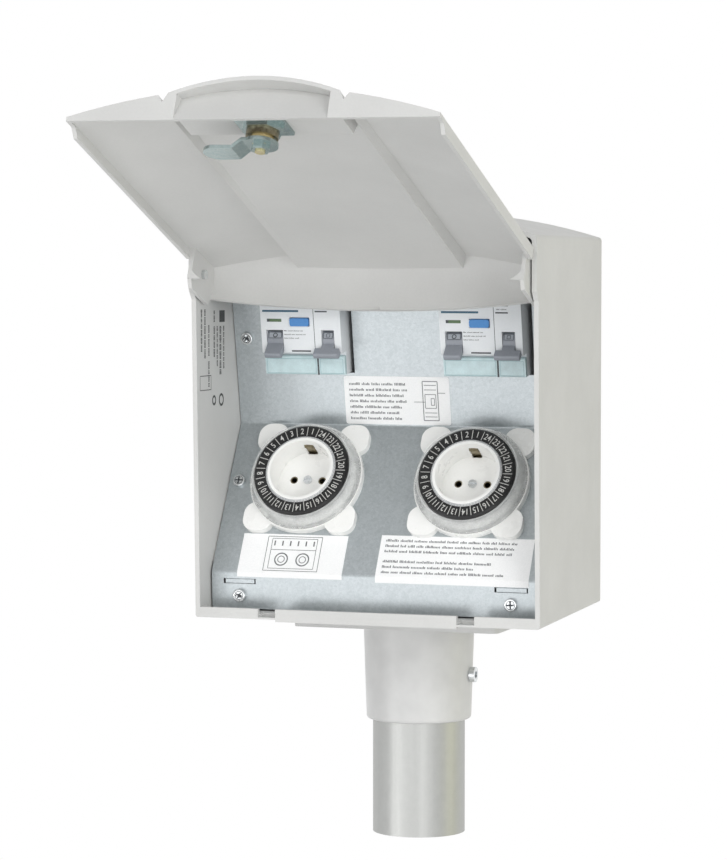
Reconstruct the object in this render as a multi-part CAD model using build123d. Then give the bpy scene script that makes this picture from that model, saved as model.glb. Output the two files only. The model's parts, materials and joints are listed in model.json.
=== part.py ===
from build123d import *
import math
import os

# A garden socket post for outdoor plugs: a moulded housing on a collar and a round tube, with a
# hinged lid that stands open, a bent cover plate, two timer sockets and two rows of breakers.
# Millimetres and degrees. The origin is the centre of the tube's lower end, +X is to the right as
# seen from the open front, +Y runs from the front to the back and +Z is up.
# The housing and all it holds are drawn in the housing's frame: x 0 at the middle, y 0 at the
# back, with the front on the minus side, and z 0 at the floor.

# Shared fits
overrun = 10.0
run_fit = 0.06
seat_fit = 0.05
flat_gap = 0.3

# Post
tube_outer_dia = 60.0
tube_wall = 2.5
tube_below_housing = 147.0
tube_axis_to_back = 41.7
collar_bottom_wall = 4.1
collar_taper = 2.0
collar_bottom_z = -73.0
collar_rim_round = 2.2
collar_stop_thick = 3.0
cable_way_inset = 1.5
collar_screw_z = -43.5
collar_screw_dia = 6.0
collar_screw_head_dia = 10.0
collar_screw_head_height = 3.6
collar_screw_socket = 5.0
collar_screw_socket_deep = 2.0

# Flange under the housing
flange_half_width = 68.6
flange_front_y = -93.5
flange_back_y = -3.0
flange_bottom_z = -10.4
flange_thick = 2.6
flange_corner_round = 5.0
flange_pad_left = 11.6
flange_pad_right = 48.0
flange_bolt_x = 52.0
flange_bolt_spread = 27.0
flange_bolt_dia = 6.0
flange_bolt_head_dia = 10.0
flange_bolt_head_height = 4.0
floor_boss_dia = 16.0
floor_boss_top = 8.0

# Housing
housing_width = 226.0
housing_depth = 150.4
housing_wall = 3.0
front_lean_share = 0.0269
draft_angle = 0.88
roof_apex_z = 258.0
roof_rise = 17.43
shoulder_round = 2.6
floor_round = 1.6
jog_below_pivot = 9.6
jog_height = 6.0
ear_ahead = 10.0
lip_height = 6.5
lip_skirt_share = 0.5257
lip_skirt_drop = 1.4
cable_notch_from_skirt = 5.9
cable_notch_width = 11.5
cable_notch_deep = 9.0
cable_notch_floor = 1.2
cam_slot_left_x = -37.0
cam_slot_right_x = 13.0
cam_slot_depth = 9.5

# Cover plate, as seen from the side
plate_thick = 1.5
plate_side_gap = 4.5
plate_top_below_roof = 28.0
fold_behind_front = 69.0
fold_z = 119.4
upper_lean = 10.7
lower_fold_behind_front = 16.5
lower_fold_z = 27.8
plate_foot_behind_front = 17.8
plate_bottom_z = 4.4
bend_round = 2.0
lip_slot_width = 21.6
lip_slot_height = 3.2
lip_slot_from_edge = 18.8
lip_slot_z = 21.9

# Ledges that carry the plate
ledge_width = 13.5
ledge_thick = 3.0
ledge_top_v = 98.0
ledge_low_v = 7.0
ledge_wall_overlap = 1.4
boss_dia = 9.0
boss_long = 11.0
foot_pad_width = 12.0
foot_pad_height = 18.0
foot_pad_deep = 9.0

# Plate screws
screw_dia = 4.0
screw_long = 9.0
screw_head_dia = 8.4
screw_head_height = 2.4
screw_slot_width = 1.1
screw_slot_deep = 1.0
upper_screw_from_edge = 8.5
upper_screw_v = 56.4
middle_screw_from_edge = 7.0
middle_screw_v = 63.5
lip_screw_from_edge = 18.9
lip_screw_z = 12.9

# Breakers, in the frame of the plate's upper part: x, v up from the fold and h off the plate
device_centre_v = 72.0
device_height = 85.0
device_front_height = 45.0
device_front_h = 13.0
device_step_height = 74.6
device_step_h = 6.0
device_shoulder_h = -3.4
device_edge_round = 0.8
rail_back_h = -42.0
rail_depth = 7.5
rail_height = 35.0
rail_web_height = 25.0
rail_thick = 1.0
rail_end_gap = 12.5
bracket_width = 22.0
bracket_x = 20.0
bracket_half_height = 11.0
group_from_edge_left = 23.3
group_from_edge_right = 20.3
breaker_width = 17.9
residual_width = 35.8
device_gap = 0.1
window_gap_left = 0.8
window_gap_right = 3.2
window_gap_low = 0.4

# Toggles of the breakers
toggle_v = 57.6
toggle_h = 6.6
drum_radius = 6.2
toggle_swing = 35.0
toggle_reach = 15.6
toggle_thick = 4.2
toggle_wide_from = 9.9
toggle_neck_width = 8.0
toggle_wide_width = 16.4
residual_toggle_width = 10.8
residual_toggle_x = 9.1
test_button_x = 26.4
test_button_v = 70.0
test_button_width = 12.8
test_button_height = 5.2
test_button_proud = 1.2
test_button_long = 4.2
test_button_travel = 1.5
cover_low_v = 34.7
cover_high_v = 47.2
cover_proud = 3.0
cover_wall = 1.2

# Timer sockets, in the frame of the plate's middle part
timer_from_edge = 53.5
timer_v = 65.2
timer_hole_dia = 60.0
timer_case_side = 56.0
timer_case_deep = 34.0
timer_case_round = 8.0
timer_disc_dia = 74.8
timer_base_high = 4.6
lobe_side = 20.0
lobe_centre_x = 27.4
lobe_centre_v = 27.9
lobe_round = 8.0
timer_bed_dia = 66.0
timer_bed_high = 9.6
collar_ring_dia = 73.0
collar_ring_high = 8.6
collar_cone_dia = 66.4
collar_cone_high = 15.0
collar_ring_wall = 1.4
dial_outer_dia = 62.4
dial_inner_dia = 46.6
dial_top_h = 16.6
dial_chamfer = 1.2
dial_steps = 24
dial_groove_width = 0.7
dial_groove_deep = 0.6
socket_outer_dia = 46.4
socket_well_dia = 40.0
socket_rim_h = 17.4
socket_floor_h = 0.4
socket_floor_thick = 3.0
socket_bed_fit = 0.1
pin_spacing = 19.0
pin_hole_dia = 5.2
sleeve_wall = 0.6
sleeve_long = 14.0
sleeve_sunk = 0.6
strap_width = 6.0
strap_thick = 1.0
strap_top_h = 11.0
strap_nose = 1.1
strap_slot_fit = 0.25
socket_screw_dia = 3.0
socket_screw_head_dia = 5.6
socket_screw_head_high = 1.4
tappet_width = 3.4
tappet_high = 1.4

# Supply behind the plate
block_width = 66.0
block_height = 34.0
block_deep = 26.0
block_z = 42.0
block_ways = 5
block_way_dia = 7.0
block_way_deep = 12.0
block_round = 1.5
earth_bar_width = 44.0
earth_bar_height = 9.0
earth_bar_deep = 6.0
earth_bar_x = 68.0
earth_bar_z = 60.0
earth_boss_dia = 8.0
earth_boss_long = 7.0
earth_screws = 4
earth_screw_dia = 4.4
earth_screw_deep = 2.4

# Lid, drawn closed in its own frame: x across, s down the front and h inwards
lid_corner_offset = 8.3
lid_zero_below_roof = 18.0
pivot_ahead = 2.1
pivot_below_roof = 41.8
open_angle = 113.5
lid_wall = 2.5
lid_side_gap = 0.8
hood_step = 3.2
wide_from_s = 40.4
lid_below_floor = 0.6
lid_side_h = 8.0
lid_end_rim_h = 3.0
rim_slope_length = 13.6
wing_edge_h = 0.35
wing_arc_inset = 0.2
wing_rise = 17.374
groove_share = 0.48574
groove_half_width = 3.0
groove_h = -8.2
crown_edge_h = -13.9
crown_top_h = -23.4
band_edge_h = -6.0
band_top_h = -6.6
band_groove_h = -5.8
envelope_from_s = -17.0
barrel_mid_radius = 38.3
barrel_end_radius = 21.0
hood_edge_h = 22.0
cheek_back_h = 26.9
cheek_radius = 20.5
hinge_pin_dia = 6.0
hinge_pin_in_hood = 4.5
hinge_pin_from_side = 1.0
grip_from_groove = 8.2
grip_deep = 12.6
platform_h = -3.5
platform_from_groove = 5.0
platform_length = 36.6
platform_slope = 4.0

# Lock in the lid
lock_from_end = 22.6
lock_flange_dia = 22.0
lock_flange_thick = 2.0
lock_seat_h = -20.4
lock_body_dia = 19.0
lock_body_end_h = 5.0
lock_bore_dia = 14.0
lock_plate_width = 30.0
lock_plate_height = 25.0
lock_plate_thick = 1.6
lock_nut_across = 25.0
lock_nut_thick = 3.2
plug_slot_long = 8.0
plug_slot_width = 1.2
plug_slot_deep = 3.0
plug_square = 8.0
plug_square_h = 7.6
cam_thick = 2.0
cam_hub_dia = 20.0
cam_reach = 34.0
cam_tip_width = 17.0
cam_root_width = 15.0
cam_joggle = 4.8
cam_joggle_from = 9.5
cam_joggle_to = 15.0
cam_stud_dia = 6.0
cam_nut_across = 11.0
cam_nut_thick = 3.4

# Worked-out sizes
tube_radius = tube_outer_dia / 2
collar_bottom_dia = tube_outer_dia + 2 * collar_bottom_wall
collar_top_dia = collar_bottom_dia + 2 * collar_taper
cable_way_dia = tube_outer_dia - 2 * (tube_wall + cable_way_inset)
housing_half = housing_width / 2
roof_radius = (housing_half ** 2 + roof_rise ** 2) / (2 * roof_rise)
lip_skirt_half_width = housing_half * lip_skirt_share
cable_notch_x = lip_skirt_half_width + cable_notch_from_skirt
plate_half_width = housing_half - plate_side_gap
plate_top_z = roof_apex_z - plate_top_below_roof
fold_y = fold_behind_front - housing_depth
lower_fold_y = lower_fold_behind_front - housing_depth
plate_bottom_y = plate_foot_behind_front - housing_depth
lip_slot_x = plate_half_width - lip_slot_from_edge
rail_half_length = plate_half_width - rail_end_gap
left_group_x = group_from_edge_left - plate_half_width
right_group_x = plate_half_width - group_from_edge_right - residual_width - device_gap - breaker_width
timer_x = plate_half_width - timer_from_edge
ledge_inner_x = plate_half_width - ledge_width
upper_screw_x = plate_half_width - upper_screw_from_edge
middle_screw_x = plate_half_width - middle_screw_from_edge
lip_screw_x = plate_half_width - lip_screw_from_edge
pivot_y = -housing_depth - pivot_ahead
pivot_z = roof_apex_z - pivot_below_roof
jog_high_z = pivot_z - jog_below_pivot
jog_low_z = jog_high_z - jog_height
ear_front_y = -housing_depth - ear_ahead
lid_half_width = housing_half - lid_side_gap
hood_half_width = lid_half_width - hood_step
hinge_pin_inner_x = hood_half_width - hinge_pin_in_hood
hinge_pin_outer_x = housing_half - hinge_pin_from_side
lid_zero_z = roof_apex_z - lid_zero_below_roof
lid_end_s = lid_zero_z + lid_below_floor
rim_slope_from_s = lid_end_s - rim_slope_length
wing_arc_reach = lid_half_width - wing_arc_inset
groove_x = lid_half_width * groove_share
grip_half_width = groove_x - grip_from_groove
grip_wall_s = lid_end_s - grip_deep
platform_half_width = groove_x - platform_from_groove
platform_from_s = lid_end_s - platform_length
lock_s = lid_end_s - lock_from_end
housing_place = Pos(0, tube_axis_to_back, tube_below_housing)
flange_top_z = flange_bottom_z + flange_thick
middle_run = fold_y - lower_fold_y
middle_rise = fold_z - lower_fold_z
middle_lean = math.degrees(math.atan2(middle_run, middle_rise))
middle_length = math.hypot(middle_run, middle_rise)
draft_rate = math.tan(math.radians(draft_angle))
pivot = (0, pivot_y, pivot_z)

# Frames of the plate's two slanted parts
upper_tilt = math.radians(upper_lean)
upper_normal = (0, -math.cos(upper_tilt), -math.sin(upper_tilt))
upper_frame = Plane(origin=(0, fold_y, fold_z), x_dir=(1, 0, 0), z_dir=upper_normal)
middle_tilt = math.radians(middle_lean)
middle_normal = (0, -math.cos(middle_tilt), math.sin(middle_tilt))
middle_frame = Plane(origin=(0, lower_fold_y, lower_fold_z), x_dir=(1, 0, 0), z_dir=middle_normal)

# Frame of the closed lid, and the same after it has swung open
lean_angle = math.atan(front_lean_share)
lid_normal = (0, math.cos(lean_angle), math.sin(lean_angle))
lid_zero_y = -(housing_depth + front_lean_share * lid_zero_z) - lid_corner_offset
lid_frame = Plane(origin=(0, lid_zero_y, lid_zero_z), x_dir=(1, 0, 0), z_dir=lid_normal)
lid_swing = Pos(*pivot) * Rot(-open_angle, 0, 0) * Pos(0, -pivot_y, -pivot_z)
lid_place = housing_place * lid_swing * lid_frame.location
pivot_in_lid = lid_frame.to_local_coords(Vector(*pivot))
pivot_s = pivot_in_lid.Y
pivot_h = pivot_in_lid.Z


def save(shape, name):
    shape.label = name
    export_step(shape, f"parts/{name}.step")


def block(x0, x1, y0, y1, z0, z1):
    size = (x1 - x0, y1 - y0, z1 - z0)
    return Pos((x0 + x1) / 2, (y0 + y1) / 2, (z0 + z1) / 2) * Box(*size)


def rod(radius, low, high, x=0, y=0):
    return Pos(x, y, (low + high) / 2) * Cylinder(radius, high - low)


def prism_along_x(points, x0, x1):
    face = make_face(Plane.YZ * Polyline(*points, close=True))
    return Pos(x0, 0, 0) * extrude(face, x1 - x0, dir=(1, 0, 0))


def offset_line(points, distance):
    # The points of a polyline moved sideways, with mitred corners
    moved = []
    last = len(points) - 1
    for i in range(len(points)):
        ahead = Vector(*points[min(i + 1, last)]) - Vector(*points[min(i, last - 1)])
        behind = Vector(*points[max(i, 1)]) - Vector(*points[max(i - 1, 0)])
        first = Vector(-behind.Y, behind.X).normalized()
        second = Vector(-ahead.Y, ahead.X).normalized()
        middle = (first + second).normalized()
        reach = distance / middle.dot(first)
        moved.append((points[i][0] + middle.X * reach, points[i][1] + middle.Y * reach))
    return moved


def countered_screw(x, y):
    # A round head with a cross slot, its seat at 0 and its shank downwards
    head = rod(screw_head_dia / 2, 0, screw_head_height, x, y)
    top_edge = head.edges().group_by(Axis.Z)[-1]
    head = fillet(top_edge, screw_head_height / 3)
    slot_floor = screw_head_height - screw_slot_deep
    half_slot = screw_slot_width / 2
    reach = screw_head_dia / 3
    for half_x, half_y in ((reach, half_slot), (half_slot, reach)):
        head -= block(x - half_x, x + half_x, y - half_y, y + half_y, slot_floor, screw_head_height)
    return head + rod(screw_dia / 2, -screw_long, 0, x, y)


# Post

def post_tube():
    top = tube_below_housing + flange_bottom_z - collar_stop_thick
    return rod(tube_radius, 0, top) - rod(tube_radius - tube_wall, 0, top)


def collar_radius(z):
    share = (z - collar_bottom_z) / (flange_bottom_z - collar_bottom_z)
    return (collar_bottom_dia + (collar_top_dia - collar_bottom_dia) * share) / 2


def post_collar():
    height = flange_bottom_z - collar_bottom_z
    middle = (flange_bottom_z + collar_bottom_z) / 2
    body = Pos(0, 0, middle) * Cone(collar_bottom_dia / 2, collar_top_dia / 2, height)
    body = fillet(body.edges().group_by(Axis.Z)[0], collar_rim_round)
    stop = flange_bottom_z - collar_stop_thick
    body -= rod(tube_radius + seat_fit, collar_bottom_z, stop)
    body -= rod(cable_way_dia / 2, collar_bottom_z, flange_bottom_z)
    hole = Cylinder(collar_screw_dia / 2 + seat_fit, collar_top_dia / 2)
    body -= Pos(collar_top_dia / 2, 0, collar_screw_z) * Rot(0, 90, 0) * hole
    return body


def collar_screw():
    # The head rests on the upper edge of the tapered collar's seat, and the end meets the tube
    seat = collar_radius(collar_screw_z + collar_screw_head_dia / 2)
    end = seat + collar_screw_head_height
    head = rod(collar_screw_head_dia / 2, seat, end)
    socket = extrude(RegularPolygon(collar_screw_socket / 2, 6), collar_screw_socket_deep)
    head -= Pos(0, 0, end - collar_screw_socket_deep) * socket
    screw = head + rod(collar_screw_dia / 2, tube_radius, seat)
    return Pos(0, 0, collar_screw_z) * Rot(0, 90, 0) * screw


def floor_level(y):
    return draft_rate * (housing_depth + y)


def flange_plate():
    half = flange_half_width
    y0 = flange_front_y
    y1 = flange_back_y
    plate = block(-half, half, y0, y1, flange_bottom_z, flange_top_z)
    profile = [
        (y0, flange_bottom_z), (y1, flange_bottom_z),
        (y1, floor_level(y1)), (y0, floor_level(y0)),
    ]
    plate += prism_along_x(profile, -half, flange_pad_left - half)
    plate += prism_along_x(profile, half - flange_pad_right, half)
    plate = fillet(plate.edges().filter_by(Axis.Z).group_by(Axis.X)[0], flange_corner_round)
    plate = fillet(plate.edges().filter_by(Axis.Z).group_by(Axis.X)[-1], flange_corner_round)
    plate -= rod(cable_way_dia / 2, flange_bottom_z, floor_boss_top, 0, -tube_axis_to_back)
    for x, y in flange_bolt_places():
        plate -= rod(flange_bolt_dia / 2 + seat_fit, flange_bottom_z, floor_boss_top, x, y)
    return plate


def flange_bolt_places():
    places = []
    for x in (-flange_bolt_x, flange_bolt_x):
        for y in (-flange_bolt_spread, flange_bolt_spread):
            places.append((x, y - tube_axis_to_back))
    return places


def flange_bolt(x, y):
    end = floor_boss_top + flange_bolt_head_height
    head = extrude(RegularPolygon(flange_bolt_head_dia / 2, 6), flange_bolt_head_height)
    shank = rod(flange_bolt_dia / 2, flange_bottom_z, end, x, y)
    return Pos(x, y, floor_boss_top) * head + shank


# Housing

def housing_section(y, inset):
    # The outline across the housing at one depth: straight sides and an arched roof
    grow = -draft_rate * (housing_depth + y)
    half = housing_half + grow - inset
    low = -grow + inset
    top = roof_apex_z + grow - inset
    radius = roof_radius - inset
    shoulder = top - radius + math.sqrt(radius * radius - half * half)
    roof = ThreePointArc((half, shoulder), (0, top), (-half, shoulder))
    walls = Polyline((-half, shoulder), (-half, low), (half, low), (half, shoulder))
    face = make_face(roof + walls)
    corners = face.vertices().sort_by(Axis.Y)
    face = fillet(corners[-2:], shoulder_round)
    corners = face.vertices().sort_by(Axis.Y)
    face = fillet(corners[:2], floor_round)
    return Plane.XZ.offset(-y) * face


def front_line(z):
    return -(housing_depth + front_lean_share * z)


def housing_shell():
    past = ear_front_y - overrun
    outer = loft([housing_section(0, 0), housing_section(past, 0)], ruled=True)
    back = housing_section(-housing_wall, housing_wall)
    inner = loft([back, housing_section(past, housing_wall)], ruled=True)
    top = roof_apex_z + overrun
    profile = [
        (overrun, -overrun),
        (front_line(-overrun), -overrun),
        (front_line(jog_low_z), jog_low_z),
        (ear_front_y, jog_high_z),
        (ear_front_y, top),
        (overrun, top),
    ]
    outer = outer & prism_along_x(profile, -housing_width, housing_width)
    return outer - inner


def plate_profile(back_by):
    # The side view of the plate's front face, or of a face that lies behind it
    rise = plate_top_z - fold_z
    top_y = fold_y - rise * math.tan(upper_tilt)
    points = [
        (top_y, plate_top_z),
        (fold_y, fold_z),
        (lower_fold_y, lower_fold_z),
        (plate_bottom_y, plate_bottom_z),
    ]
    return offset_line(points, back_by)


def ledge(side):
    front = plate_profile(plate_thick)
    back = plate_profile(plate_thick + ledge_thick)
    cut = ledge_top_v * math.cos(upper_tilt) + fold_z
    reach = (cut - fold_z) * math.tan(upper_tilt)
    front[0] = (front[1][0] - reach, cut)
    back[0] = (back[1][0] - reach, cut)
    low_y = ledge_low_v * math.sin(middle_tilt)
    low_z = ledge_low_v * math.cos(middle_tilt)
    front[2] = (front[2][0] + low_y, front[2][1] + low_z)
    back[2] = (back[2][0] + low_y, back[2][1] + low_z)
    x0 = ledge_inner_x * side
    x1 = (plate_half_width + ledge_wall_overlap) * side
    rail = prism_along_x(front[:3] + back[:3][::-1], min(x0, x1), max(x0, x1))
    drop = -plate_thick
    boss = rod(boss_dia / 2, drop - boss_long, drop - ledge_thick / 2)
    rail += upper_frame.location * Pos(upper_screw_x * side, upper_screw_v, 0) * boss
    rail += middle_frame.location * Pos(middle_screw_x * side, middle_screw_v, 0) * boss
    return rail


def foot_pad(side):
    half = foot_pad_width / 2
    x = lip_screw_x * side
    face_y = plate_bottom_y + plate_thick
    line = plate_profile(plate_thick)
    top = foot_pad_height + housing_wall
    run = (line[3][0] - line[2][0]) / (line[2][1] - line[3][1])
    low_y = line[3][0] + run * line[3][1]
    high_y = low_y - run * top
    back = face_y + foot_pad_deep
    points = [(low_y, floor_round), (high_y, top), (back, top), (back, floor_round)]
    return prism_along_x(points, x - half, x + half)


def plate_screw_places():
    # The name of each screw with the frame that it is set in and its place there
    lip_tilt = math.atan2(plate_bottom_y - lower_fold_y, lower_fold_z - plate_bottom_z)
    lip_normal = (0, -math.cos(lip_tilt), -math.sin(lip_tilt))
    share = (lower_fold_z - lip_screw_z) / (lower_fold_z - plate_bottom_z)
    lip_y = lower_fold_y + (plate_bottom_y - lower_fold_y) * share
    lip_frame = Plane(origin=(0, lip_y, lip_screw_z), x_dir=(1, 0, 0), z_dir=lip_normal)
    places = []
    for side, word in ((-1, "left"), (1, "right")):
        places.append((f"plate_screw_upper_{word}", upper_frame, upper_screw_x * side, upper_screw_v))
        places.append((f"plate_screw_middle_{word}", middle_frame, middle_screw_x * side, middle_screw_v))
        places.append((f"plate_screw_lip_{word}", lip_frame, lip_screw_x * side, 0))
    return places


def pin_hole(side):
    hole = Cylinder(hinge_pin_dia / 2 + seat_fit, hinge_pin_outer_x - hinge_pin_inner_x + seat_fit)
    middle = (hinge_pin_outer_x + hinge_pin_inner_x + seat_fit) / 2
    return Pos(middle * side, pivot_y, pivot_z) * Rot(0, 90, 0) * hole


def housing():
    body = housing_shell()
    half = housing_half - housing_wall / 2
    lip = block(-half, half, -housing_depth, housing_wall - housing_depth, floor_round, lip_height)
    skirt_half = lip_skirt_half_width
    skirt_back = housing_wall - housing_depth
    lip += block(-skirt_half, skirt_half, -housing_depth, skirt_back, -lip_skirt_drop, lip_height)
    body += lip
    for x in (-cable_notch_x, cable_notch_x):
        half_notch = cable_notch_width / 2
        back = cable_notch_deep - housing_depth
        notch_top = lip_height + overrun
        front = -housing_depth - overrun
        body -= block(x - half_notch, x + half_notch, front, back, cable_notch_floor, notch_top)
    slot_front = housing_wall - housing_depth
    slot_back = slot_front + cam_slot_depth
    body -= block(cam_slot_left_x, cam_slot_right_x, slot_front, slot_back, -overrun, lip_height)
    for side in (-1, 1):
        body += ledge(side)
        body += foot_pad(side)
        body -= pin_hole(side)
    for x, y in flange_bolt_places():
        body += rod(floor_boss_dia / 2, floor_level(y) + housing_wall / 2, floor_boss_top, x, y)
    body -= rod(cable_way_dia / 2, -overrun, floor_boss_top, 0, -tube_axis_to_back)
    for x, y in flange_bolt_places():
        body -= rod(flange_bolt_dia / 2 + seat_fit, -overrun, floor_boss_top + overrun, x, y)
    for name, frame, x, v in plate_screw_places():
        hole = rod(screw_dia / 2 + seat_fit, -screw_long - seat_fit, overrun, x, v)
        body -= frame.location * hole
    return body


# Cover plate

def cover_plate():
    front = plate_profile(0)
    back = plate_profile(plate_thick)
    inside = bend_round
    outside = bend_round + plate_thick
    face_line = Plane.YZ * FilletPolyline(*front, radius=[inside, outside])
    back_line = Plane.YZ * FilletPolyline(*back, radius=[outside, inside])
    top_line = Plane.YZ * Line(front[0], back[0])
    foot_line = Plane.YZ * Line(front[-1], back[-1])
    face = make_face([face_line.edges(), back_line.edges(), top_line, foot_line])
    plate = extrude(face, plate_half_width, dir=(1, 0, 0), both=True)
    for left in (left_group_x, right_group_x):
        plate -= upper_frame.location * device_window(left)
    for x in (-timer_x, timer_x):
        hole = rod(timer_hole_dia / 2, -overrun, overrun, x, timer_v)
        plate -= middle_frame.location * hole
    for name, frame, x, v in plate_screw_places():
        plate -= frame.location * rod(screw_dia / 2 + flat_gap, -plate_thick, plate_thick, x, v)
    for x in (-lip_slot_x, lip_slot_x):
        size = (lip_slot_width, overrun, lip_slot_height)
        plate -= Pos(x, lower_fold_y, lip_slot_z) * Box(*size)
    return plate


def device_window(left):
    width = residual_width + device_gap + breaker_width
    half = device_step_height / 2 + window_gap_low
    low = device_centre_v - half
    high = device_centre_v + half
    return block(left - window_gap_left, left + width + window_gap_right, low, high, -overrun, overrun)


# Rail and breakers

def din_rail():
    mid = device_centre_v
    back = rail_back_h
    front = rail_back_h + rail_depth
    web = block(-rail_half_length, rail_half_length, mid - rail_web_height / 2,
                mid + rail_web_height / 2, back, back + rail_thick)
    rail = web
    for side in (-1, 1):
        inner = mid + (rail_web_height / 2 - rail_thick) * side
        outer = mid + rail_web_height / 2 * side
        edge = mid + rail_height / 2 * side
        low, high = min(inner, outer), max(inner, outer)
        rail += block(-rail_half_length, rail_half_length, low, high, back, front)
        low, high = min(inner, edge), max(inner, edge)
        rail += block(-rail_half_length, rail_half_length, low, high, front - rail_thick, front)
    return rail


def rail_bracket(x):
    # A wedge-shaped stand between the back wall and the slanted rail
    def in_housing(v, h):
        place = upper_frame.from_local_coords(Vector(0, v, h))
        return (place.Y, place.Z)

    low = in_housing(device_centre_v - bracket_half_height, rail_back_h)
    high = in_housing(device_centre_v + bracket_half_height, rail_back_h)
    points = [low, high, (-housing_wall, high[1]), (-housing_wall, low[1])]
    return prism_along_x(points, x - bracket_width / 2, x + bracket_width / 2)


def device_outline():
    mid = device_centre_v
    half = device_height / 2
    step = device_step_height / 2
    nose = device_front_height / 2
    recess = rail_height / 2 + flat_gap
    back = rail_back_h + rail_thick
    rail_front = rail_back_h + rail_depth
    return [
        (mid - half, back), (mid - half, device_shoulder_h),
        (mid - step, device_shoulder_h), (mid - step, device_step_h),
        (mid - nose, device_step_h), (mid - nose, device_front_h),
        (mid + nose, device_front_h), (mid + nose, device_step_h),
        (mid + step, device_step_h), (mid + step, device_shoulder_h),
        (mid + half, device_shoulder_h), (mid + half, back),
        (mid + recess, back), (mid + recess, rail_front),
        (mid - recess, rail_front), (mid - recess, back),
    ]


def toggle_pocket(x, width):
    half = width / 2 + flat_gap
    reach = drum_radius + flat_gap + cover_wall / 2
    low = toggle_h - drum_radius - flat_gap
    return block(x - half, x + half, toggle_v - reach, toggle_v + reach, low, device_front_h + overrun)


def device_body(left, width):
    # The outline is in v and h, and it is carried along x
    body = prism_along_x(device_outline(), left, left + width)
    front = body.edges().filter_by(Axis.X).group_by(Axis.Z)[-1]
    return fillet(front, device_edge_round)


def residual_body(left):
    body = device_body(left, residual_width)
    body -= toggle_pocket(left + residual_toggle_x, residual_toggle_width)
    half_x = test_button_width / 2 + flat_gap
    half_v = test_button_height / 2 + flat_gap
    x = left + test_button_x
    low = device_front_h + test_button_proud - test_button_long - test_button_travel - flat_gap
    body -= block(x - half_x, x + half_x, test_button_v - half_v, test_button_v + half_v,
                  low, device_front_h + overrun)
    return body


def breaker_left(group_left):
    return group_left + residual_width + device_gap


def breaker_body(left):
    body = device_body(left, breaker_width)
    return body - toggle_pocket(left + breaker_width / 2, toggle_neck_width)


def toggle(x, neck_width, wide_width):
    # A drum with a lever that points downwards and outwards while the breaker is off
    drum = Rot(0, 90, 0) * Cylinder(drum_radius, neck_width)
    half = toggle_thick / 2
    neck = block(-neck_width / 2, neck_width / 2, -half, half, 0, toggle_reach)
    wide = block(-wide_width / 2, wide_width / 2, -half, half, toggle_wide_from, toggle_reach)
    lever = neck + wide
    lever = fillet(lever.edges().filter_by(Axis.X).group_by(Axis.Z)[-1], toggle_thick / 3)
    return Pos(x, toggle_v, toggle_h) * (drum + Rot(toggle_swing, 0, 0) * lever)


def test_button(left):
    x = left + test_button_x
    half_x = test_button_width / 2
    half_v = test_button_height / 2
    top = device_front_h + test_button_proud
    button = block(x - half_x, x + half_x, test_button_v - half_v, test_button_v + half_v,
                   top - test_button_long, top)
    return fillet(button.edges().filter_by(Axis.Z), half_v / 2)


def terminal_cover(left):
    # A clear cap over the screws of one row, open at the back
    right = left + residual_width + device_gap + breaker_width
    low = device_step_h
    high = device_step_h + cover_proud
    cap = block(left, right, cover_low_v, cover_high_v, low, high)
    cap = fillet(cap.edges().filter_by(Axis.X).group_by(Axis.Z)[-1], cover_wall)
    cap -= block(left + cover_wall, right - cover_wall, cover_low_v + cover_wall,
                 cover_high_v - cover_wall, low, high - cover_wall)
    return cap


# Timer sockets

def timer_case():
    # The clockwork's case behind the plate
    half = timer_case_side / 2
    case = block(-half, half, -half, half, -timer_case_deep, -plate_thick)
    case = fillet(case.edges().filter_by(Axis.Z), timer_case_round)
    under = socket_floor_h - socket_floor_thick - sleeve_long
    case -= rod(socket_outer_dia / 2 + flat_gap, under, -plate_thick)
    return case


def timer_base():
    base = rod(timer_disc_dia / 2, 0, timer_base_high)
    for x in (-lobe_centre_x, lobe_centre_x):
        for v in (-lobe_centre_v, lobe_centre_v):
            outline = Pos(x, v) * RectangleRounded(lobe_side, lobe_side, lobe_round)
            base += extrude(outline, timer_base_high)
    base += rod(timer_bed_dia / 2, 0, timer_bed_high)
    base -= rod(socket_outer_dia / 2 + socket_bed_fit, 0, timer_bed_high)
    return base


def timer_collar():
    # A clear ring that guards the dial, with a sloping upper part
    outer = rod(collar_ring_dia / 2, timer_base_high, collar_ring_high)
    middle = (collar_ring_high + collar_cone_high) / 2
    rise = collar_cone_high - collar_ring_high
    outer += Pos(0, 0, middle) * Cone(collar_ring_dia / 2, collar_cone_dia / 2, rise)
    bore = timer_bed_dia / 2 + flat_gap
    inner = rod(bore, timer_base_high, collar_ring_high)
    throat = collar_cone_dia / 2 - collar_ring_wall
    inner += Pos(0, 0, middle) * Cone(bore, throat, rise)
    ring = outer - inner
    half = tappet_width / 2
    reach = collar_ring_dia / 2
    tab_low = timer_bed_high + flat_gap
    tab = block(throat, reach, -half, half, tab_low, collar_cone_high - tappet_high)
    return ring + (tab & outer)


def timer_dial():
    low = timer_bed_high + flat_gap
    inner = dial_inner_dia / 2
    outer = dial_outer_dia / 2
    ring = rod(outer, low, dial_top_h) - rod(inner, low, dial_top_h)
    top_edges = ring.edges().filter_by(GeomType.CIRCLE).group_by(Axis.Z)[-1]
    ring = chamfer(top_edges.sort_by(SortBy.RADIUS)[-1], dial_chamfer)
    half = dial_groove_width / 2
    groove = block(inner - half, outer + half, -half, half, dial_top_h - dial_groove_deep, dial_top_h)
    for i in range(dial_steps):
        ring -= Rot(0, 0, i * 360 / dial_steps) * groove
    return ring


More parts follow.
